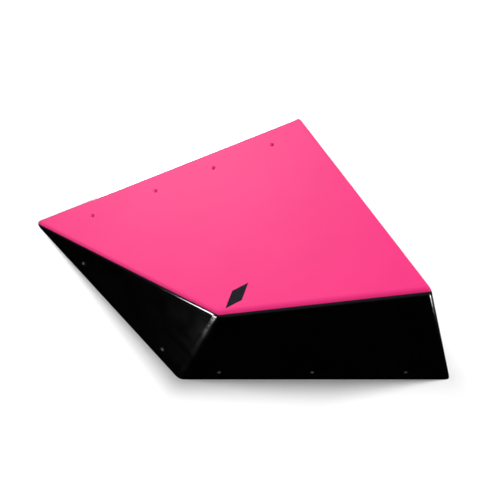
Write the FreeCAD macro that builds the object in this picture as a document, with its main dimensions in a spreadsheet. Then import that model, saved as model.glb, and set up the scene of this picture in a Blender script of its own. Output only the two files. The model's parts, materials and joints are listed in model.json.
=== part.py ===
import FreeCAD, Part
import os
import re

import Sketcher

# An add-on climbing volume: a hollow glass-fibre wedge that is screwed flat onto a climbing wall.
# The wall is the plane z = 0 and +Z points out of it. Seen from the front, +X is right and +Y is up.
# Three flat faces rise from the outline to a broken crest: the climbing face above it, the left face
# and the foot face below it. A fourth, upright side face closes the right-hand end.
doc = FreeCAD.newDocument("ClimbingVolume")

# ---------------------------------------------------------------- driving dimensions (mm, degrees)
SIZES = {
    # outline on the wall: a four-cornered plan with its tip at the left
    "plan_length": 1208,
    "plan_width": 759,
    "tip_rise": 455,
    "crest_reach": 767,
    "foot_reach": 417,
    # slopes of the four faces, measured from the wall
    "climb_slope": 31.9,
    "foot_slope": 50.5,
    "left_slope": 47.5,
    "side_slope": 90,
    # moulded edges
    "nose_radius": 45,
    "ridge_radius": 20,
    "side_radius": 10,
    "shell_wall": 5,
    # grit coat on the climbing face and the plain mark let into it
    "coat_thickness": 1,
    "coat_hem": 2,
    "coat_side_margin": 2,
    "mark_length": 84,
    "mark_width": 32,
    "mark_turn": 40.5,
    "mark_along_ridge": 51,
    "mark_above_ridge": 41,
    # screw holes: how far along each lower edge they stand, and how far up the slope
    "climb_hole_1": 108,
    "climb_hole_2": 287,
    "climb_hole_3": 464,
    "climb_hole_4": 657,
    "climb_hole_up": 57,
    "left_hole_1": 188,
    "left_hole_2": 519,
    "left_hole_up": 47,
    "foot_hole_1": 118,
    "foot_hole_2": 382,
    "foot_hole_3": 648,
    "foot_hole_up": 45,
    "screw_bore": 6.5,
    "washer_width": 16,
    "washer_thickness": 3.2,
    "countersink_width": 12.5,
    "washer_gap": 0.15,
    # laminate doublers behind the holes
    "pad_width": 60,
    "pad_height": 42,
    "pad_thickness": 6,
    "pad_corner": 8,
    # plywood ribs
    "rib_thickness": 12,
    "rib_setback": 80,
    "spine_angle": 9.6,
    "cross_rib_1_at": 194,
    "cross_rib_2_at": 464,
    "lap_height": 70,
    "lightening_width": 90,
    "lightening_height": 90,
    "spine_hole_1": 580,
    "spine_hole_2": 890,
    "cross_hole_1": 520,
    "cross_hole_2": 400,
    # glass tapes that bond the ribs in
    "bond_gap": 0.3,
    "tape_width": 40,
    "tape_thickness": 2,
    "rim_land": 3,
    # blank identification label
    "label_along": 530,
    "label_up": 60,
    "label_width": 70,
    "label_height": 45,
    "label_thickness": 0.8,
    "label_corner": 5,
}
sizes = doc.addObject("Spreadsheet::Sheet", "Sizes")
for row, (alias, value) in enumerate(SIZES.items(), start=1):
    sizes.set(f"A{row}", alias)
    sizes.set(f"B{row}", str(value))
    sizes.setAlias(f"B{row}", alias)
doc.recompute()

ALIAS = re.compile(r"\b(" + "|".join(SIZES) + r")\b")
NEAR = 0.01


def bind(item, target, text):
    """Bind a property or named constraint to sheet values, named by their aliases alone."""
    item.setExpression(target, ALIAS.sub(r"Sizes.\1", text))


def place(x="0", y="0", z="0", yaw="0 deg", roll="0 deg"):
    return f"placement(vector({x}; {y}; {z}); rotation({yaw}; 0 deg; {roll}))"


# ---------------------------------------------------------------- the four lower edges of the plan
# Each edge is a start point and a heading. In its frame X runs along the edge and +Y points inward.
HALF_LENGTH = "plan_length / 2"
HALF_WIDTH = "plan_width / 2"
TOP_EDGE_FALL = "atan((plan_width - tip_rise) / crest_reach)"
EDGES = {
    "climb": (f"crest_reach - {HALF_LENGTH}", HALF_WIDTH, f"180 deg + {TOP_EDGE_FALL}"),
    "left": (f"-{HALF_LENGTH}", f"tip_rise - {HALF_WIDTH}", "-atan(tip_rise / foot_reach)"),
    "foot": (f"foot_reach - {HALF_LENGTH}", f"-{HALF_WIDTH}", "0 deg"),
    "side": (HALF_LENGTH, f"-{HALF_WIDTH}", "90 deg + atan((plan_length - crest_reach) / plan_width)"),
}


def plan_frame(edge):
    x, y, heading = EDGES[edge]
    return place(x, y, "0", heading)


def face_frame(edge):
    """Frame on a sloping face: X along its lower edge, Y up the slope, Z straight out of it."""
    x, y, heading = EDGES[edge]
    return place(x, y, "0", heading, f"{edge}_slope")


# ---------------------------------------------------------------- sketches and small building blocks
def base_sketch(body, name):
    sketch = body.newObject("Sketcher::SketchObject", name)
    plane = [item for item in body.Origin.OriginFeatures if item.Role == "XY_Plane"][0]
    sketch.AttachmentSupport = (plane, [""])
    sketch.MapMode = "FlatFace"
    return sketch


def name_last(sketch, name, text):
    sketch.renameConstraint(sketch.ConstraintCount - 1, name)
    bind(sketch, f"Constraints.{name}", text)


def draw_rectangle(sketch, width, height):
    """A rectangle centred on the sketch's origin."""
    corners = [FreeCAD.Vector(x, y, 0) for x, y in ((-1, -1), (1, -1), (1, 1), (-1, 1))]
    for index, corner in enumerate(corners):
        sketch.addGeometry(Part.LineSegment(corner, corners[(index + 1) % len(corners)]), False)
    for index in range(len(corners)):
        sketch.addConstraint(Sketcher.Constraint("Coincident", index, 2, (index + 1) % len(corners), 1))
        direction = ("Horizontal", "Vertical")[index % 2]
        sketch.addConstraint(Sketcher.Constraint(direction, index))
    sketch.addConstraint(Sketcher.Constraint("Symmetric", 0, 1, 2, 1, -1, 1))
    sketch.addConstraint(Sketcher.Constraint("DistanceX", 0, 1, 0, 2, 2))
    name_last(sketch, "width", width)
    sketch.addConstraint(Sketcher.Constraint("DistanceY", 1, 1, 1, 2, 2))
    name_last(sketch, "height", height)


def draw_lozenge(sketch, length, width):
    """A lozenge centred on the sketch's origin, with its long diagonal along X."""
    points = [FreeCAD.Vector(x, y, 0) for x, y in ((2, 0), (0, 1), (-2, 0), (0, -1))]
    for index, point in enumerate(points):
        sketch.addGeometry(Part.LineSegment(point, points[(index + 1) % len(points)]), False)
    for index in range(len(points)):
        sketch.addConstraint(Sketcher.Constraint("Coincident", index, 2, (index + 1) % len(points), 1))
    for index, axis in enumerate((-1, -2)):
        sketch.addConstraint(Sketcher.Constraint("PointOnObject", index, 1, axis))
        sketch.addConstraint(Sketcher.Constraint("Symmetric", index, 1, index + 2, 1, -1, 1))
    sketch.addConstraint(Sketcher.Constraint("DistanceX", 2, 1, 0, 1, 4))
    name_last(sketch, "length", length)
    sketch.addConstraint(Sketcher.Constraint("DistanceY", 3, 1, 1, 1, 2))
    name_last(sketch, "width", width)


def draw_circle(sketch, name, diameter):
    index = sketch.addGeometry(Part.Circle(FreeCAD.Vector(), FreeCAD.Vector(0, 0, 1), 1), False)
    sketch.addConstraint(Sketcher.Constraint("Coincident", index, 3, -1, 1))
    sketch.addConstraint(Sketcher.Constraint("Diameter", index, 2))
    name_last(sketch, name, diameter)


def add_pad(body, sketch, length):
    pad = body.newObject("PartDesign::Pad", f"{body.Name}_pad")
    pad.Profile = sketch
    bind(pad, "Length", length)
    return pad


def add_dressing(body, kind, edges, target, text):
    """A fillet or chamfer on the tip's edges that pass the given test."""
    doc.recompute()
    base = body.Tip
    names = [f"Edge{i}" for i, edge in enumerate(base.Shape.Edges, start=1) if edges(edge)]
    feature = body.newObject(f"PartDesign::{kind}", f"{body.Name}_{kind.lower()}")
    feature.Base = (base, names)
    bind(feature, target, text)
    return feature


def combine(kind, name, base, tool):
    result = doc.addObject(f"Part::{kind}", name)
    result.Base = base
    result.Tool = tool
    return result


def join(name, items):
    result = doc.addObject("Part::MultiFuse", name)
    result.Shapes = items
    return result


def box(name, frame, length, width, height):
    item = doc.addObject("Part::Box", name)
    bind(item, "Length", length)
    bind(item, "Width", width)
    bind(item, "Height", height)
    bind(item, "Placement", frame)
    return item


def cylinder(name, frame, diameter, height):
    item = doc.addObject("Part::Cylinder", name)
    bind(item, "Radius", f"({diameter}) / 2")
    bind(item, "Height", height)
    bind(item, "Placement", frame)
    return item


# ---------------------------------------------------------------- solids bounded by sloping planes
REACH = "(plan_length + plan_width)"
BEYOND = f"4 * {REACH}"


def planed_block(name, planes, bottom="0"):
    """A tall block standing on the wall, cut down by one plane for each frame in planes."""
    body = doc.addObject("PartDesign::Body", name)
    sketch = base_sketch(body, f"{name}_outline")
    bind(sketch, "AttachmentOffset", place(z=bottom))
    draw_rectangle(sketch, BEYOND, BEYOND)
    add_pad(body, sketch, REACH)
    sketches = {}
    for key, frame in planes.items():
        sketch = base_sketch(body, f"{name}_{key}_plane")
        bind(sketch, "AttachmentOffset", frame)
        draw_rectangle(sketch, BEYOND, BEYOND)
        pocket = body.newObject("PartDesign::Pocket", f"{name}_{key}_cut")
        pocket.Profile = sketch
        pocket.Reversed = True
        bind(pocket, "Length", BEYOND)
        sketches[key] = sketch
    return body, sketches


def on_planes(sketches):
    """A test for edges whose ends lie on the planes of both sketches."""
    def test(edge):
        ends = [vertex.Point for vertex in edge.Vertexes]
        for sketch in sketches:
            normal = sketch.Placement.Rotation.multVec(FreeCAD.Vector(0, 0, 1))
            if any(abs((end - sketch.Placement.Base).dot(normal)) > NEAR for end in ends):
                return False
        return True
    return test


def either(tests):
    return lambda edge: any(test(edge) for test in tests)


def wedge(name, inset):
    """The volume's own form, with each face moved straight inward by inset, and its edges rounded."""
    planes = {edge: f"{face_frame(edge)} * {place(z=f'-({inset})')}" for edge in EDGES}
    body, cuts = planed_block(name, planes)
    nose = on_planes((cuts["left"], cuts["foot"]))
    ridge = either([on_planes((cuts["climb"], cuts[other])) for other in ("left", "foot")])
    side = either([on_planes((cuts["side"], cuts[other])) for other in ("climb", "foot")])
    add_dressing(body, "Fillet", nose, "Radius", f"nose_radius - ({inset})")
    add_dressing(body, "Fillet", ridge, "Radius", f"ridge_radius - ({inset})")
    add_dressing(body, "Fillet", side, "Radius", f"side_radius - ({inset})")
    return body


# ---------------------------------------------------------------- shell: moulded laminate, open at the wall
HOLES = [
    ("climb", 1), ("climb", 2), ("climb", 3), ("climb", 4),
    ("left", 1), ("left", 2),
    ("foot", 1), ("foot", 2), ("foot", 3),
]


def hole_frame(edge, number, depth):
    """Frame on a screw hole's axis, at a depth under the face."""
    return f"{face_frame(edge)} * {place(f'{edge}_hole_{number}', f'{edge}_hole_up', f'-({depth})')}"


outer = wedge("outer_form", "0")
hollow = wedge("inner_form", "shell_wall")
wall = combine("Cut", "wall", outer, hollow)

drills = []
for edge, number in HOLES:
    name = f"{edge}_{number}"
    recess = hole_frame(edge, number, "washer_thickness")
    through = hole_frame(edge, number, "2 * shell_wall")
    drills.append(cylinder(f"recess_{name}", recess, "washer_width + 2 * washer_gap", "2 * washer_thickness"))
    drills.append(cylinder(f"bore_{name}", through, "screw_bore", "4 * shell_wall"))
shell = combine("Cut", "shell", wall, join("shell_drills", drills))
pieces = [shell]

# ---------------------------------------------------------------- grit coat and the mark let into it
# The coat lies on the climbing face up to the broken crest. In plan the crest's two lines leave the
# top edge's line at angles that follow from the slopes of the faces on either side. The first starts
# at the tip, the second where the top edge's line meets the foot edge's, and they cross at the peak.
TIP_ANGLE = f"(atan(tip_rise / foot_reach) + {TOP_EDGE_FALL})"
CREST_TURN = (
    "atan(tan(left_slope * 1 deg) * sin({angle})"
    " / (tan(climb_slope * 1 deg) + tan(left_slope * 1 deg) * cos({angle})))"
).format(angle=TIP_ANGLE)
RIDGE_TURN = CREST_TURN.replace("left_slope", "foot_slope").replace(TIP_ANGLE, TOP_EDGE_FALL)
CREST_HEADING = f"({TOP_EDGE_FALL} - {CREST_TURN})"
RIDGE_HEADING = f"({TOP_EDGE_FALL} - {RIDGE_TURN})"
MEETING_REACH = "(tip_rise * crest_reach / (plan_width - tip_rise))"
CREST_LENGTH = (
    f"(tip_rise * cos({RIDGE_HEADING}) - {MEETING_REACH} * sin({RIDGE_HEADING}))"
    f" / sin({RIDGE_HEADING} - {CREST_HEADING})"
)
TIP_Y = f"tip_rise - {HALF_WIDTH}"
COAT_LIMITS = {
    "crest": place(f"-{HALF_LENGTH}", TIP_Y, "0", CREST_HEADING, "90 deg"),
    "ridge": place(f"-{HALF_LENGTH} - {MEETING_REACH}", f"-{HALF_WIDTH}", "0", RIDGE_HEADING, "90 deg"),
    "side": f"{face_frame('side')} * {place(z='-coat_side_margin')}",
}
coat_form = wedge("coat_form", "-coat_thickness")
coat_area, _ = planed_block("coat_area", COAT_LIMITS, "coat_hem")
coat_skin = combine("Cut", "coat_skin", coat_form, outer)
coat_sheet = combine("Common", "coat_sheet", coat_skin, coat_area)

mark_block = doc.addObject("PartDesign::Body", "mark_block")
mark_sketch = base_sketch(mark_block, "mark_outline")
draw_lozenge(mark_sketch, "mark_length", "mark_width")
add_pad(mark_block, mark_sketch, REACH)
crest_frame = place(f"-{HALF_LENGTH}", TIP_Y, "0", CREST_HEADING)
peak = place(CREST_LENGTH, yaw=f"{RIDGE_HEADING} - {CREST_HEADING}")
mark_seat = place("mark_along_ridge", "mark_above_ridge", "0", "mark_turn")
bind(mark_block, "Placement", f"{crest_frame} * {peak} * {mark_seat}")
face_mark = combine("Common", "face_mark", coat_skin, mark_block)

coat_cuts = [mark_block]
for edge, number in HOLES:
    if edge == "climb":
        opening = hole_frame(edge, number, "coat_thickness")
        coat_cuts.append(cylinder(f"coat_hole_{number}", opening, "countersink_width", "4 * coat_thickness"))
grip_coat = combine("Cut", "grip_coat", coat_sheet, join("coat_cuts", coat_cuts))
pieces += [grip_coat, face_mark]


# ---------------------------------------------------------------- countersunk washers and doubler pads
def washer(edge, number):
    """A steel ring with a 90 degree countersink, let in flush with the face."""
    body = doc.addObject("PartDesign::Body", f"{edge}_washer_{number}")
    sketch = base_sketch(body, f"{body.Name}_ring")
    draw_circle(sketch, "rim", "washer_width")
    draw_circle(sketch, "bore", "screw_bore")
    add_pad(body, sketch, "washer_thickness")
    doc.recompute()
    top = body.Shape.BoundBox.ZMax
    rim = body.Shape.BoundBox.XLength / 2
    add_dressing(body, "Chamfer",
                 lambda curve: curve.BoundBox.ZMin > top - NEAR and curve.Curve.Radius < rim - NEAR,
                 "Size", "(countersink_width - screw_bore) / 2")
    bind(body, "Placement", hole_frame(edge, number, "washer_thickness"))
    return body


def plate(name, frame, prefix, bore=None):
    """A flat plate with rounded corners, sized by the sheet values that share a prefix."""
    body = doc.addObject("PartDesign::Body", name)
    sketch = base_sketch(body, f"{name}_outline")
    draw_rectangle(sketch, f"{prefix}_width", f"{prefix}_height")
    add_pad(body, sketch, f"{prefix}_thickness")
    doc.recompute()
    thickness = body.Shape.BoundBox.ZLength
    add_dressing(body, "Fillet", lambda edge: edge.BoundBox.ZLength > thickness - NEAR,
                 "Radius", f"{prefix}_corner")
    if bore:
        opening = base_sketch(body, f"{name}_bore_outline")
        draw_circle(opening, "bore", bore)
        pocket = body.newObject("PartDesign::Pocket", f"{name}_bore")
        pocket.Profile = opening
        pocket.Reversed = True
        bind(pocket, "Length", f"2 * {prefix}_thickness")
    bind(body, "Placement", frame)
    return body


for edge, number in HOLES:
    pieces.append(washer(edge, number))
for edge, number in HOLES:
    seat = hole_frame(edge, number, "shell_wall + bond_gap + pad_thickness")
    pieces.append(plate(f"{edge}_pad_{number}", seat, "pad", "screw_bore"))

# ---------------------------------------------------------------- ribs: a spine and two cross ribs
# They are half lapped where they cross, and stop short of the lower edges to leave the pads clear.
cavity = wedge("cavity_form", "shell_wall + bond_gap")
rib_limits = {edge: f"{plan_frame(edge)} * {place(y='rib_setback', roll='90 deg')}"
              for edge in ("climb", "left", "foot")}
rib_area, _ = planed_block("rib_area", rib_limits)
rib_room = combine("Common", "rib_room", cavity, rib_area)

# In each rib's frame X runs along the rib from its start, and the rib stands on the X axis.
RIB_FRAMES = {
    "spine_rib": place(f"-{HALF_LENGTH}", TIP_Y, "0", "-spine_angle"),
    "cross_rib_1": f"{plan_frame('climb')} * {place('cross_rib_1_at', yaw='90 deg')}",
    "cross_rib_2": f"{plan_frame('climb')} * {place('cross_rib_2_at', yaw='90 deg')}",
}


def rib_box(name, rib, thickness, bottom="0"):
    """A long upright slab centred on a rib's line."""
    frame = f"{RIB_FRAMES[rib]} * {place(y=f'-({thickness}) / 2', z=bottom)}"
    return box(name, frame, REACH, thickness, REACH)


def lightening_hole(name, rib, at):
    frame = f"{RIB_FRAMES[rib]} * {place(at, 'rib_thickness', 'lightening_height', roll='90 deg')}"
    return cylinder(name, frame, "lightening_width", "2 * rib_thickness")


def rib(name, holes, notches):
    board = combine("Common", f"{name}_board", rib_box(f"{name}_slab", name, "rib_thickness"), rib_room)
    cuts = [lightening_hole(f"{name}_{at}", name, at) for at in holes]
    return combine("Cut", name, board, join(f"{name}_cuts", cuts + notches))


SLOT = "rib_thickness + 2 * bond_gap"
spine_notches = []
for cross in ("cross_rib_1", "cross_rib_2"):
    lower = box(f"spine_notch_{cross}", f"{RIB_FRAMES[cross]} * {place(y=f'-({SLOT}) / 2')}",
                REACH, SLOT, "lap_height + bond_gap")
    spine_notches.append(lower)
pieces.append(rib("spine_rib", ("spine_hole_1", "spine_hole_2"), spine_notches))
for cross, at in (("cross_rib_1", "cross_hole_1"), ("cross_rib_2", "cross_hole_2")):
    pieces.append(rib(cross, (at,), [rib_box(f"{cross}_notch", "spine_rib", SLOT, "lap_height")]))

# ---------------------------------------------------------------- glass tapes along both sides of every rib
# A tape is L-shaped: one leg lies on the shell, the other on the rib. The spine's tapes stop at the
# cross ribs, and the cross ribs' tapes stop at the edges of the spine's tapes.
under_tape = wedge("under_tape_form", "shell_wall + bond_gap + tape_thickness")
tape_skin = combine("Cut", "tape_skin", rib_room, under_tape)
leg_seat = place(z="-(shell_wall + bond_gap + tape_width)")
leg_planes = {edge: f"{face_frame(edge)} * {leg_seat}" for edge in EDGES}
under_legs, _ = planed_block("under_legs_form", leg_planes)
leg_band = combine("Cut", "leg_band", rib_room, under_legs)


def side_box(name, rib, side, start, width):
    """An upright slab beside a rib's line, from start to start + width on the given side."""
    near = start if side == "a" else f"-({start}) - ({width})"
    return box(name, f"{RIB_FRAMES[rib]} * {place(y=near, z='rim_land')}", REACH, width, REACH)


def tape_strip(rib, side):
    """The whole L-shaped strip on one side of a rib."""
    name = f"{rib}_strip_{side}"
    start = "rib_thickness / 2 + bond_gap"
    on_shell = combine("Common", f"{name}_flat", tape_skin,
                       side_box(f"{name}_flat_box", rib, side, start, "tape_width"))
    on_rib = combine("Common", f"{name}_upright", leg_band,
                     side_box(f"{name}_upright_box", rib, side, start, "tape_thickness"))
    return join(name, [on_shell, on_rib])


def bay_box(name, start, end):
    """The room between two stations along the top edge."""
    frame = f"{plan_frame('climb')} * {place(start, '-plan_width')}"
    return box(name, frame, f"({end}) - ({start})", "4 * plan_width", REACH)


CLEAR = "(rib_thickness / 2 + bond_gap)"
BAYS = (
    bay_box("bay_1", f"-{REACH}", f"cross_rib_1_at - {CLEAR}"),
    bay_box("bay_2", f"cross_rib_1_at + {CLEAR}", f"cross_rib_2_at - {CLEAR}"),
    bay_box("bay_3", f"cross_rib_2_at + {CLEAR}", REACH),
)
TAPE_EDGE = "rib_thickness / 2 + 2 * bond_gap + tape_width"
HALVES = [side_box(f"half_{side}", "spine_rib", side, TAPE_EDGE, REACH) for side in "ab"]


def tapes(rib, areas):
    for side in "ab":
        strip = tape_strip(rib, side)
        for number, area in enumerate(areas, start=1):
            pieces.append(combine("Common", f"{rib}_tape_{number}{side}", strip, area))


tapes("spine_rib", BAYS)
tapes("cross_rib_1", HALVES)
tapes("cross_rib_2", HALVES)

# ---------------------------------------------------------------- blank label on the inside of the side face
label_seat = place("label_along", "label_up", "-(shell_wall + bond_gap + label_thickness)")
pieces.append(plate("blank_label", f"{face_frame('side')} * {label_seat}", "label"))

# ---------------------------------------------------------------- check and write
doc.recompute()
for item in doc.Objects:
    if "Invalid" in item.State or "Error" in item.State:
        raise RuntimeError(f"{item.Name} did not compute: {item.State}")
for piece in pieces:
    if piece.Shape.isNull() or not piece.Shape.isValid() or not piece.Shape.Solids:
        raise RuntimeError(f"{piece.Label} has no sound solid")

os.makedirs("parts", exist_ok=True)
for piece in pieces:
    piece.Shape.exportStep(f"parts/{piece.Label}.step")
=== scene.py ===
import json
import math

import bpy
from mathutils import Matrix, Vector


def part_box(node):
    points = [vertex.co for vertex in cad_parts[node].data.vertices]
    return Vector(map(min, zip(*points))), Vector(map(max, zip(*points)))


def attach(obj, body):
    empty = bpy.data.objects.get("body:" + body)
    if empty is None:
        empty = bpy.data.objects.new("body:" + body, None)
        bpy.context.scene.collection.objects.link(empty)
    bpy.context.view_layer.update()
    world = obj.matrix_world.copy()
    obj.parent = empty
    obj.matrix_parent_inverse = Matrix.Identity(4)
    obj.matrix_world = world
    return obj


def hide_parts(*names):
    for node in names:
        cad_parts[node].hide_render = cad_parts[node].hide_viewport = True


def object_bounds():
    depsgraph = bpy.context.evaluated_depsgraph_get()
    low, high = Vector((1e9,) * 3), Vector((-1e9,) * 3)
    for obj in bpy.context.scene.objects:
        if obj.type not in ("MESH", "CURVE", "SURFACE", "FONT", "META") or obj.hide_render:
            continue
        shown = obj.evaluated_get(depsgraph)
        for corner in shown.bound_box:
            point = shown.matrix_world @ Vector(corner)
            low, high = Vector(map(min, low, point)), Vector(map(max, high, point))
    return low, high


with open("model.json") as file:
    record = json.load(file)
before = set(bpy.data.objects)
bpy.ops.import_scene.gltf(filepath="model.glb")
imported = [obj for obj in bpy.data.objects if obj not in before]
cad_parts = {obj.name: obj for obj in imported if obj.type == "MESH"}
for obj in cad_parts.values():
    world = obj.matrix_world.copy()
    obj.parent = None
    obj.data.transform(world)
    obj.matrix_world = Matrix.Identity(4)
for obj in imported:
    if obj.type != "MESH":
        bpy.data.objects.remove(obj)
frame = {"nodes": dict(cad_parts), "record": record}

cad_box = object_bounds()

# ------------------------------------------------------------------ moulded shell
# The body is one hand-laid glass-fibre moulding, 5 mm thick, open where it lies on the wall.
# Its outside is high-gloss black gelcoat off a polished mould, so broad surfaces are faintly
# wavy. Inside, the bare laminate shows its chopped strands, and the rim is sanded flat.
SMOOTH_ANGLE = math.radians(32)
WELD_DISTANCE = 0.00001
GELCOAT_DARK = (0.0012, 0.0012, 0.0016, 1)
GELCOAT_LIGHT = (0.0026, 0.0027, 0.0036, 1)
WAVE_SCALE, WAVE_DEPTH = 5.0, 0.0010
RIPPLE_SCALE, RIPPLE_DEPTH = 40.0, 0.0003
PEEL_SCALE, PEEL_DEPTH = 420.0, 0.00002
RESIN_DEEP = (0.20, 0.19, 0.10, 1)
RESIN_PALE = (0.46, 0.45, 0.29, 1)
STRAND_WHITE = (0.66, 0.66, 0.54, 1)
STRAND_TURNS = (0.2, 0.9, 1.7, 2.6)
STRAND_RELIEF = 0.0003
# The hole paint is lighter than the coat: painted light that lifts the shade in the countersinks and
# bores.
PAINT_PINK_LIFTED = (0.80, 0.030, 0.200, 1)
PAINT_PINK_DEEP_LIFTED = (0.72, 0.022, 0.165, 1)
HOLE_REACH = 0.0084
UPRIGHT = 0.1


def alone(thing):
    """Makes a thing the only one that is selected, and active."""
    bpy.ops.object.select_all(action="DESELECT")
    thing.select_set(True)
    bpy.context.view_layer.objects.active = thing


def even_normals(piece):
    """Smooths a piece, and keeps its flat faces flat in the light where they run into rounded edges."""
    alone(piece)
    bpy.ops.object.shade_smooth_by_angle(angle=SMOOTH_ANGLE)
    bpy.ops.object.modifier_add(type="WEIGHTED_NORMAL")
    modifier = piece.modifiers[-1]
    modifier.keep_sharp = True
    modifier.weight = 100
    bpy.ops.object.modifier_apply(modifier=modifier.name)


def welded_copy(node, name):
    """A copy of a frame node with its triangles joined and smoothed, to be finished as a piece."""
    source = frame["nodes"][node]
    piece = bpy.data.objects.new(name, source.data.copy())
    bpy.context.scene.collection.objects.link(piece)
    piece.data.materials.clear()
    alone(piece)
    bpy.ops.object.mode_set(mode="EDIT")
    bpy.ops.mesh.select_all(action="SELECT")
    bpy.ops.mesh.remove_doubles(threshold=WELD_DISTANCE)
    bpy.ops.object.mode_set(mode="OBJECT")
    even_normals(piece)
    return piece


def stand_in(piece, slot, *nodes):
    """Fixes a finished piece to the volume in place of its frame nodes."""
    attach(piece, "root")
    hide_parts(*nodes)


def new_material(name, **values):
    """A material whose shader sockets, named as in Blender but with underscores, hold constants."""
    material = bpy.data.materials.new(name)
    material.use_nodes = True
    shader = material.node_tree.nodes["Principled BSDF"]
    for socket, value in values.items():
        shader.inputs[socket.replace("_", " ").title().replace("Ior", "IOR")].default_value = value
    return material


def add(material, kind, inputs=(), **settings):
    """A node with its settings made, and its inputs set to values or linked to other nodes."""
    node = material.node_tree.nodes.new("ShaderNode" + kind)
    for name, value in settings.items():
        setattr(node, name, value)
    for socket, value in dict(inputs).items():
        if isinstance(value, bpy.types.NodeSocket):
            material.node_tree.links.new(value, node.inputs[socket])
        else:
            node.inputs[socket].default_value = value
    return node


def drive(material, socket, value):
    """Links a pattern to one of a material's shader sockets."""
    shader = material.node_tree.nodes["Principled BSDF"]
    material.node_tree.links.new(value, shader.inputs[socket])


def place_in(material, turn=0.0, stretch=(1, 1, 1)):
    """Object coordinates, turned about Z and stretched."""
    coordinates = add(material, "TexCoord").outputs["Object"]
    inputs = {"Vector": coordinates, "Rotation": (0, 0, turn), "Scale": stretch}
    return add(material, "Mapping", inputs).outputs["Vector"]


def noise(material, vector, scale, detail=2.0, roughness=0.5):
    """Soft noise from 0 to 1."""
    inputs = {"Vector": vector, "Scale": scale, "Detail": detail, "Roughness": roughness}
    return add(material, "TexNoise", inputs).outputs["Fac"]


def blend(material, factor, low, high, start=0.35, end=0.65):
    """A colour between low and high as the factor goes from start to end."""
    ramp = add(material, "ValToRGB", {"Fac": factor})
    first, last = ramp.color_ramp.elements
    first.position, last.position = start, end
    first.color, last.color = low, high
    return ramp.outputs["Color"]


def level(material, factor, low, high, start=0.3, end=0.7):
    """A number between low and high as the factor goes from start to end."""
    inputs = {"Value": factor, "From Min": start, "From Max": end, "To Min": low, "To Max": high}
    return add(material, "MapRange", inputs).outputs["Result"]


def relief(material, height, distance, under=None):
    """A bump of the given depth in metres, laid over another if one is given."""
    inputs = {"Height": height, "Distance": distance, "Strength": 1.0}
    if under:
        inputs["Normal"] = under
    return add(material, "Bump", inputs).outputs["Normal"]


def brighter(material, one, other):
    """The larger of two numbers."""
    return add(material, "Math", {0: one, 1: other}, operation="MAXIMUM").outputs["Value"]


def laid_over(material, mask, under, colour):
    """A colour laid over another where a mask says so."""
    mix = add(material, "Mix", {"Factor": mask}, data_type="RGBA")
    sockets = {socket.identifier: socket for socket in mix.inputs}
    material.node_tree.links.new(under, sockets["A_Color"])
    sockets["B_Color"].default_value = colour
    return mix.outputs[2]


def make_gelcoat():
    """High-gloss black with faint clouds, waves left by the mould, and a fine peel."""
    gloss = {"coat_weight": 0.4, "coat_roughness": 0.03, "specular_ior_level": 0.45}
    material = new_material("black_gelcoat", **gloss)
    place = place_in(material)
    clouds = noise(material, place, 11.0, 4.0)
    smears = noise(material, place, 26.0, 5.0)
    drive(material, "Base Color", blend(material, clouds, GELCOAT_DARK, GELCOAT_LIGHT))
    drive(material, "Roughness", level(material, smears, 0.10, 0.17))
    surface = relief(material, noise(material, place, WAVE_SCALE, 1.0), WAVE_DEPTH)
    surface = relief(material, noise(material, place, RIPPLE_SCALE, 1.0), RIPPLE_DEPTH, surface)
    surface = relief(material, noise(material, place, PEEL_SCALE, 1.0), PEEL_DEPTH, surface)
    drive(material, "Normal", surface)
    return material


def make_laminate():
    """Straw-green resin with pale strands that lie in four directions."""
    material = new_material("raw_laminate", coat_weight=0.5, coat_roughness=0.12, specular_ior_level=0.5)
    strands = None
    for number, turn in enumerate(STRAND_TURNS):
        place = place_in(material, turn, (14, 240, 60 + 20 * number))
        streak = level(material, noise(material, place, 1.0, 2.0, 0.6), 0.0, 1.0, 0.52, 0.72)
        strands = brighter(material, strands, streak) if strands else streak
    resin = blend(material, noise(material, place_in(material), 18.0, 4.0), RESIN_DEEP, RESIN_PALE)
    drive(material, "Base Color", laid_over(material, strands, resin, STRAND_WHITE))
    drive(material, "Roughness", level(material, strands, 0.28, 0.5, 0.0, 1.0))
    drive(material, "Normal", relief(material, strands, STRAND_RELIEF))
    return material


def make_pink_paint():
    """The coat's first thin layer, without grit, as it ran into the screw holes, set lighter than the
    coat as painted light against the shade in the holes.
    """
    material = new_material("pink_paint", specular_ior_level=0.3)
    streaks = noise(material, place_in(material), 300.0, 3.0)
    drive(material, "Base Color", blend(material, streaks, PAINT_PINK_LIFTED, PAINT_PINK_DEEP_LIFTED))
    drive(material, "Roughness", level(material, streaks, 0.5, 0.65))
    return material


def in_painted_hole(point):
    """Whether a point lies in one of the climbing face's screw holes."""
    return any((point - hole).cross(climb_axis).length < HOLE_REACH for hole in climb_holes)


mounts = {mount["name"]: mount for mount in frame["record"]["mounts"]}
climb_axis = Vector(mounts["climb_screws_top"]["axis"])
climb_boxes = [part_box(node) for node in sorted(frame["nodes"]) if node.startswith("climb_washer_")]
climb_holes = [(lowest + highest) / 2 for lowest, highest in climb_boxes]
gelcoat = make_gelcoat()
laminate = make_laminate()
pink_paint = make_pink_paint()
shell = welded_copy("shell", "moulded_shell")
for finish in (gelcoat, laminate, pink_paint):
    shell.data.materials.append(finish)
box_centre = (cad_box[0] + cad_box[1]) / 2
for face in shell.data.polygons:
    faces_in = face.normal.xy.dot(box_centre.xy - face.center.xy) > 0
    inside = face.normal.z < -UPRIGHT or (abs(face.normal.z) < UPRIGHT and faces_in)
    face.material_index = 1 if inside else 0
    # Hole walls in the climbing face take the lighter pink, painted light against their shade.
    if in_painted_hole(face.center) and face.area < HOLE_REACH ** 2:
        face.material_index = 2
stand_in(shell, "black_gelcoat", "shell")

# ------------------------------------------------------------------ doubler pads
# A small pad of the same laminate is bonded behind every screw hole, so that the screw's head
# does not pull through the wall. Each is a cut plate with rounded corners, left bare.
SAME_WAY = 0.9

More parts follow.
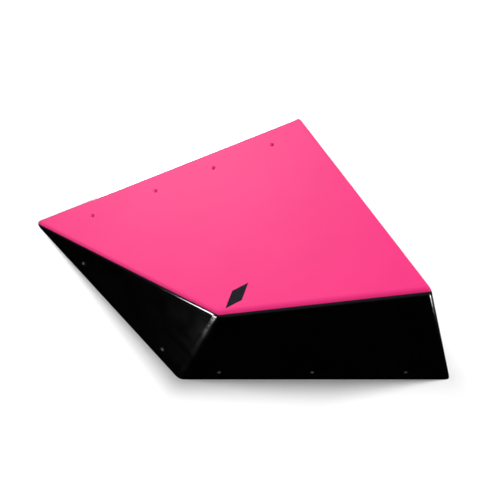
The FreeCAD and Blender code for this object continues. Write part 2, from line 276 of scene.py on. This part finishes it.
for node in sorted(frame["nodes"]):
    if "_pad_" in node:
        pad = welded_copy(node, node.replace("pad", "doubler"))
        pad.data.materials.append(laminate)
        pad.data.materials.append(pink_paint)
        for face in pad.data.polygons:
            bore = in_painted_hole(face.center) and abs(face.normal.dot(climb_axis)) < SAME_WAY
            face.material_index = 1 if bore else 0
        stand_in(pad, "raw_laminate", node)

# ------------------------------------------------------------------ plywood ribs
# A spine and two cross ribs of 12 mm birch plywood stiffen the climbing face from behind. They
# are sawn to the inside of the moulding, half lapped where they cross, and left unvarnished.
RIB_HEADINGS = {"spine_rib": -9.6, "cross_rib_1": -68.3, "cross_rib_2": -68.3}
VENEER_PALE = (0.62, 0.44, 0.25, 1)
VENEER_BROWN = (0.47, 0.30, 0.15, 1)
PLY_PITCH = 0.0030


def make_veneer(name, heading):
    """A board's face, with its figure and pores along the board."""
    material = new_material(name, specular_ior_level=0.25)
    turn = -math.radians(heading)
    figure = noise(material, place_in(material, turn, (3, 60, 60)), 1.6, 5.0, 0.6)
    pores = noise(material, place_in(material, turn, (20, 900, 900)), 1.0, 2.0)
    drive(material, "Base Color", blend(material, figure, VENEER_PALE, VENEER_BROWN, 0.35, 0.7))
    drive(material, "Roughness", level(material, pores, 0.55, 0.75))
    drive(material, "Normal", relief(material, pores, 0.0001))
    return material


def make_ply_edge(name, heading):
    """A board's sawn edge, with its layers side by side across the board's thickness."""
    material = new_material(name, specular_ior_level=0.2)
    place = place_in(material, -math.radians(heading))
    across = add(material, "SeparateXYZ", {"Vector": place}).outputs["Y"]
    layer = add(material, "Math", {0: across, 1: PLY_PITCH}, operation="PINGPONG").outputs["Value"]
    stripe = level(material, layer, 0.0, 1.0, 0.0, PLY_PITCH)
    fibres = noise(material, place_in(material), 500.0, 3.0)
    drive(material, "Base Color", blend(material, stripe, VENEER_BROWN, VENEER_PALE, 0.35, 0.55))
    drive(material, "Roughness", level(material, fibres, 0.65, 0.85))
    drive(material, "Normal", relief(material, fibres, 0.0002))
    return material


for node, heading in RIB_HEADINGS.items():
    rib = welded_copy(node, node.replace("rib", "board"))
    rib.data.materials.append(make_veneer(f"{node}_veneer", heading))
    rib.data.materials.append(make_ply_edge(f"{node}_edge", heading))
    across = Matrix.Rotation(math.radians(heading), 3, "Z") @ Vector((0, 1, 0))
    for face in rib.data.polygons:
        face.material_index = 0 if abs(face.normal.dot(across)) > SAME_WAY else 1
    stand_in(rib, "plywood", node)

# ------------------------------------------------------------------ bonding tapes
# Strips of glass tape wetted with resin run along both sides of every rib. One half of each lies
# on the moulding and the other stands up the rib, so the cured strip is L-shaped.
for node in sorted(frame["nodes"]):
    if "_tape_" in node:
        tape = welded_copy(node, node.replace("tape", "glass_tape"))
        tape.data.materials.append(laminate)
        stand_in(tape, "raw_laminate", node)

# ------------------------------------------------------------------ blank label
# A thin pale plastic plate with rounded corners is glued to the inside of the upright side. It
# is cut from smooth sheet and left blank, and handling has scuffed it a little.
LABEL_PALE = (0.72, 0.72, 0.68, 1)
LABEL_WORN = (0.60, 0.60, 0.55, 1)
label_plastic = new_material("label_plastic", specular_ior_level=0.4)
scuffs = noise(label_plastic, place_in(label_plastic, stretch=(60, 60, 300)), 1.0, 5.0)
drive(label_plastic, "Base Color", blend(label_plastic, scuffs, LABEL_PALE, LABEL_WORN, 0.45, 0.75))
drive(label_plastic, "Roughness", level(label_plastic, scuffs, 0.35, 0.55))
label = welded_copy("blank_label", "label_plate")
label.data.materials.append(label_plastic)
stand_in(label, "label_plate", "blank_label")

# ------------------------------------------------------------------ screw washers
# Every screw hole has a turned steel washer let in flush, with a 90 degree countersink. Those in
# the climbing face were painted over with the coat, in a pink lighter than the coat as painted light
# against the countersinks' shade, and the others are bare dark steel.
WASHER_RADIUS = 0.008
WASHER_THICKNESS = 0.0032
BORE_RADIUS = 0.00325
COUNTERSINK = 0.003
EDGE_BREAK = 0.0002
SIDES = 64
FACE_MOUNTS = {"climb": "climb_screws_top", "left": "left_screws", "foot": "foot_screws_left"}
TURNING_DEPTH = 0.000004
STEEL_DARK = (0.25, 0.25, 0.255, 1)
STEEL_LIGHT = (0.42, 0.42, 0.43, 1)


def drop_selection(kind):
    """Deselects all of the active mesh, ready for faces or edges of it to be selected."""
    bpy.ops.object.mode_set(mode="EDIT")
    bpy.ops.mesh.select_mode(type=kind)
    bpy.ops.mesh.select_all(action="DESELECT")
    bpy.ops.object.mode_set(mode="OBJECT")


def pick_faces(piece, wanted):
    """Selects the faces that pass a test, and leaves the piece in edit mode."""
    drop_selection("FACE")
    for face in piece.data.polygons:
        face.select = wanted(face)
    bpy.ops.object.mode_set(mode="EDIT")


def pick_edges(piece, wanted):
    """Selects the edges whose ends pass a test, and leaves the piece in edit mode."""
    drop_selection("EDGE")
    points = piece.data.vertices
    for edge in piece.data.edges:
        edge.select = wanted([points[index].co for index in edge.vertices])
    bpy.ops.object.mode_set(mode="EDIT")


def ring_at(radius, height):
    """A test for edges that lie on a level circle."""
    def test(ends):
        return all(abs(end.xy.length - radius) < EDGE_BREAK / 2 and abs(end.z - height) < EDGE_BREAK / 2
                   for end in ends)
    return test


def turn_washer():
    """A flat ring with a countersink in its top, standing on its axis at the origin."""
    bpy.ops.object.select_all(action="DESELECT")
    bpy.ops.mesh.primitive_cylinder_add(vertices=SIDES, radius=WASHER_RADIUS, depth=WASHER_THICKNESS)
    washer = bpy.context.object
    # Both ends are inset, and the two inner faces are bridged into the bore.
    pick_faces(washer, lambda face: abs(face.normal.z) > SAME_WAY)
    bpy.ops.mesh.inset(thickness=WASHER_RADIUS - BORE_RADIUS)
    bpy.ops.mesh.bridge_edge_loops()
    bpy.ops.object.mode_set(mode="OBJECT")
    # The bore's upper edge opens into the countersink, and then the top's sharp edges are broken.
    pick_edges(washer, ring_at(BORE_RADIUS, WASHER_THICKNESS / 2))
    bpy.ops.mesh.bevel(offset=COUNTERSINK, segments=1)
    bpy.ops.object.mode_set(mode="OBJECT")
    outer_top = ring_at(WASHER_RADIUS, WASHER_THICKNESS / 2)
    cone_top = ring_at(BORE_RADIUS + COUNTERSINK, WASHER_THICKNESS / 2)
    pick_edges(washer, lambda ends: outer_top(ends) or cone_top(ends))
    bpy.ops.mesh.bevel(offset=EDGE_BREAK, segments=2)
    bpy.ops.mesh.select_all(action="SELECT")
    bpy.ops.mesh.normals_make_consistent(inside=False)
    bpy.ops.object.mode_set(mode="OBJECT")
    even_normals(washer)
    return washer


def map_rings(washer):
    """Lays a map on a washer whose first number is the turn and whose second is the radius."""
    rings = washer.data.uv_layers.new(name="Rings")
    for loop in washer.data.loops:
        point = washer.data.vertices[loop.vertex_index].co
        turn = math.atan2(point.y, point.x) / math.tau
        rings.data[loop.index].uv = (turn, point.xy.length / WASHER_RADIUS)


def turned(material):
    """Fine turning rings, read from a washer's own map."""
    place = add(material, "UVMap", uv_map="Rings").outputs["UV"]
    across = add(material, "Mapping", {"Vector": place, "Scale": (1.5, 70, 1)}).outputs["Vector"]
    return noise(material, across, 1.0, 3.0)


bare_steel = new_material("bare_steel", metallic=1.0, specular_ior_level=0.3)
rings = turned(bare_steel)
drive(bare_steel, "Base Color", blend(bare_steel, rings, STEEL_DARK, STEEL_LIGHT))
drive(bare_steel, "Roughness", level(bare_steel, rings, 0.15, 0.24))
drive(bare_steel, "Normal", relief(bare_steel, rings, TURNING_DEPTH))

# Painted washers share the hole paint's lighter pink, painted light against the countersinks' shade.
painted_steel = new_material("painted_steel", specular_ior_level=0.1)
rings = turned(painted_steel)
drive(painted_steel, "Base Color", blend(painted_steel, rings, PAINT_PINK_LIFTED, PAINT_PINK_DEEP_LIFTED))
drive(painted_steel, "Roughness", level(painted_steel, rings, 0.5, 0.65))
drive(painted_steel, "Normal", relief(painted_steel, rings, TURNING_DEPTH))

pattern = turn_washer()
map_rings(pattern)
for node in sorted(frame["nodes"]):
    if "_washer_" not in node:
        continue
    face = node.partition("_")[0]
    lowest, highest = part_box(node)
    outward = Vector(mounts[FACE_MOUNTS[face]]["axis"])
    washer = bpy.data.objects.new(node.replace("washer", "screw_ring"), pattern.data.copy())
    bpy.context.scene.collection.objects.link(washer)
    stand = outward.to_track_quat("Z", "Y").to_matrix().to_4x4()
    washer.data.transform(Matrix.Translation((lowest + highest) / 2) @ stand)
    washer.data.materials.append(painted_steel if face == "climb" else bare_steel)
    stand_in(washer, "painted_washer" if face == "climb" else "steel_washer", node)
bpy.data.objects.remove(pattern)

# ------------------------------------------------------------------ grit coat
# The climbing face carries about 1 mm of pink two-part coating loaded with fine sand. It was
# rolled on inside masking tape, so it ends in a crisp step along the crest.
COAT_PINK = (0.60, 0.0140, 0.140, 1)
COAT_PINK_LIGHT = (0.62, 0.0165, 0.148, 1)
COAT_PINK_SHADED = (0.54, 0.0110, 0.115, 1)
GRAIN_SCALE, GRAIN_DEPTH = 900.0, 0.00022
SAND_SCALE, SAND_DEPTH = 1600.0, 0.00011
ROLLER_SCALE, ROLLER_DEPTH = 38.0, 0.00035
CLOUD_SCALE = 7.0

pink_coat = new_material("pink_grip_coat", specular_ior_level=0.10)
place = place_in(pink_coat)
grains = add(pink_coat, "TexVoronoi", {"Vector": place, "Scale": GRAIN_SCALE}).outputs["Distance"]
sand = noise(pink_coat, place, SAND_SCALE, 2.0)
rolled = noise(pink_coat, place, ROLLER_SCALE, 3.0)
cloudy = noise(pink_coat, place, CLOUD_SCALE, 3.0)
base = blend(pink_coat, cloudy, COAT_PINK, COAT_PINK_LIGHT, 0.3, 0.7)
flecks = level(pink_coat, sand, 0.0, 1.0, 0.60, 0.78)
drive(pink_coat, "Base Color", laid_over(pink_coat, flecks, base, COAT_PINK_SHADED))
drive(pink_coat, "Roughness", level(pink_coat, sand, 0.62, 0.82))
grit = relief(pink_coat, grains, GRAIN_DEPTH, relief(pink_coat, rolled, ROLLER_DEPTH))
drive(pink_coat, "Normal", relief(pink_coat, sand, SAND_DEPTH, grit))
coat = welded_copy("grip_coat", "pink_grit_coat")
coat.data.materials.append(pink_coat)
stand_in(coat, "pink_grit", "grip_coat")

# ------------------------------------------------------------------ inlaid mark
# A plain long lozenge of smooth dark grey sits near the crest. The coat was masked out there,
# and the mark was printed into the window, on the moulding itself and as thick as the coat.
MARK_GREY = (0.0095, 0.0090, 0.0135, 1)
MARK_GREY_WORN = (0.0135, 0.0128, 0.0185, 1)
mark_print = new_material("mark_print", specular_ior_level=0.025)
wear = noise(mark_print, place_in(mark_print), 160.0, 4.0)
drive(mark_print, "Base Color", blend(mark_print, wear, MARK_GREY, MARK_GREY_WORN))
drive(mark_print, "Roughness", level(mark_print, wear, 0.62, 0.75))
drive(mark_print, "Normal", relief(mark_print, wear, 0.00005))
mark = welded_copy("face_mark", "plain_lozenge")
mark.data.materials.append(mark_print)
stand_in(mark, "mark_grey", "face_mark")

# ------------------------------------------------------------------ floor
# The volume lies with its open back on a plain pale floor, which is so wide that its far edge
# is never near the volume. The gelcoat does not mirror it.
FLOOR_SIZE = 80.0
FLOOR_DROP = 0.0002
FLOOR_PALE = (0.86, 0.86, 0.86, 1)
bpy.ops.object.select_all(action="DESELECT")
bpy.ops.mesh.primitive_plane_add(size=FLOOR_SIZE, location=(0, 0, -FLOOR_DROP))
floor = bpy.context.object
floor.name = "pale_floor"
floor_paint = new_material("floor_paint", base_color=FLOOR_PALE, roughness=1.0, specular_ior_level=0.0)
floor.data.materials.append(floor_paint)
floor.visible_glossy = False

# ------------------------------------------------------------------ studio light
# A distant key light comes from the upper right and a weaker one from the upper left, with a
# soft box overhead, in a dim room with white paper behind. The cards light nothing: they only
# show as reflections in the gelcoat and as a haze on the coat.
ROOM_LEVEL = 0.09
WALL_LEVEL = 0.18
WALL_RISE = 0.5
PAPER_LEVEL = 1.0
SUN_SPREAD = 9
SUN_DISTANCE = 5
world = bpy.context.scene.world or bpy.data.worlds.new("studio")
bpy.context.scene.world = world
world.use_nodes = True
backdrop = world.node_tree.nodes["Background"]
backdrop.inputs["Color"].default_value = (1, 1, 1, 1)


def seen_by(ray, strength, otherwise):
    """The room's strength for one kind of ray, and what it is otherwise for the rest."""
    is_ray = add(world, "LightPath").outputs[ray]
    return add(world, "Mix", {0: is_ray, 2: otherwise, 3: strength}).outputs[0]


direction = add(world, "TexCoord").outputs["Generated"]
height = add(world, "SeparateXYZ", {"Vector": direction}).outputs["Z"]
walls = level(world, height, 0.0, WALL_LEVEL, 0.0, WALL_RISE)
room = seen_by("Is Camera Ray", PAPER_LEVEL, seen_by("Is Glossy Ray", walls, ROOM_LEVEL))
world.node_tree.links.new(room, backdrop.inputs["Strength"])


def away(start, heading, rise, distance):
    """The point at a distance from start, at a heading round Z and a rise above the horizon."""
    turn, lift = math.radians(heading), math.radians(rise)
    along = Vector((math.cos(turn), math.sin(turn), 0)) * math.cos(lift)
    return start + (along + Vector((0, 0, math.sin(lift)))) * distance


def hang(lamp, place, aim):
    """A light at a place, turned towards a point and hidden from the camera."""
    light = bpy.data.objects.new(lamp.name, lamp)
    light.location = place
    light.rotation_mode = "QUATERNION"
    light.rotation_quaternion = (Vector(aim) - Vector(place)).to_track_quat("-Z", "Y")
    light.visible_camera = False
    bpy.context.scene.collection.objects.link(light)
    return light


def panel(name, place, aim, width, height, watts):
    """A flat rectangular light."""
    lamp = bpy.data.lights.new(name, "AREA")
    lamp.shape = "RECTANGLE"
    lamp.size = width
    lamp.size_y = height
    lamp.energy = watts
    return hang(lamp, place, aim)


def card(name, aim, heading, rise, distance, width, height, watts):
    """A panel that only shows in the reflections of the gelcoat and the coat."""
    light = panel(name, away(aim, heading, rise, distance), aim, width, height, watts)
    light.visible_diffuse = False
    light.light_linking.receiver_collection = shiny


def distant(name, heading, rise, power):
    """A light as far away as the sun, but wider and softer."""
    lamp = bpy.data.lights.new(name, "SUN")
    lamp.energy = power
    lamp.angle = math.radians(SUN_SPREAD)
    hang(lamp, away(middle, heading, rise, SUN_DISTANCE), middle)


shiny = bpy.data.collections.new("shiny")
shiny.objects.link(shell)
shiny.objects.link(coat)
middle = Vector((0, 0, 0.1))
peak = Vector((-0.057, -0.161, 0.26))
corner = Vector((0.46, -0.11, 0.29))
distant("key", heading=60, rise=42.5, power=3.72)
distant("fill", heading=125, rise=42, power=1.15)
panel("overhead", (-0.3, 0.2, 3.0), middle, width=1.2, height=1.2, watts=9)
card("sheen", middle, heading=114, rise=13, distance=1.3, width=1.0, height=0.3, watts=110)
card("crest_card", peak, heading=-145, rise=11, distance=0.8, width=0.30, height=0.26, watts=5)
card("nose_card", peak, heading=-124, rise=-5, distance=1.0, width=0.30, height=0.17, watts=3.4)
card("corner_card", corner, heading=-42.3, rise=-14, distance=0.68, width=0.06, height=0.05, watts=0.42)

# ------------------------------------------------------------------ camera
# The camera looks straight down onto the volume's faces from 1.6 m above the floor, as a person
# in front of the climbing wall would see it.
CAMERA_PLACE = (0.0186, -0.0040, 1.624)
FOCAL_LENGTH = 40.32
SENSOR_WIDTH = 36
view = bpy.data.cameras.new("front_view")
view.lens = FOCAL_LENGTH
view.sensor_width = SENSOR_WIDTH
camera = bpy.data.objects.new("front_view", view)
camera.location = CAMERA_PLACE
bpy.context.scene.collection.objects.link(camera)
bpy.context.scene.camera = camera
bpy.context.scene.view_settings.view_transform = "Standard"
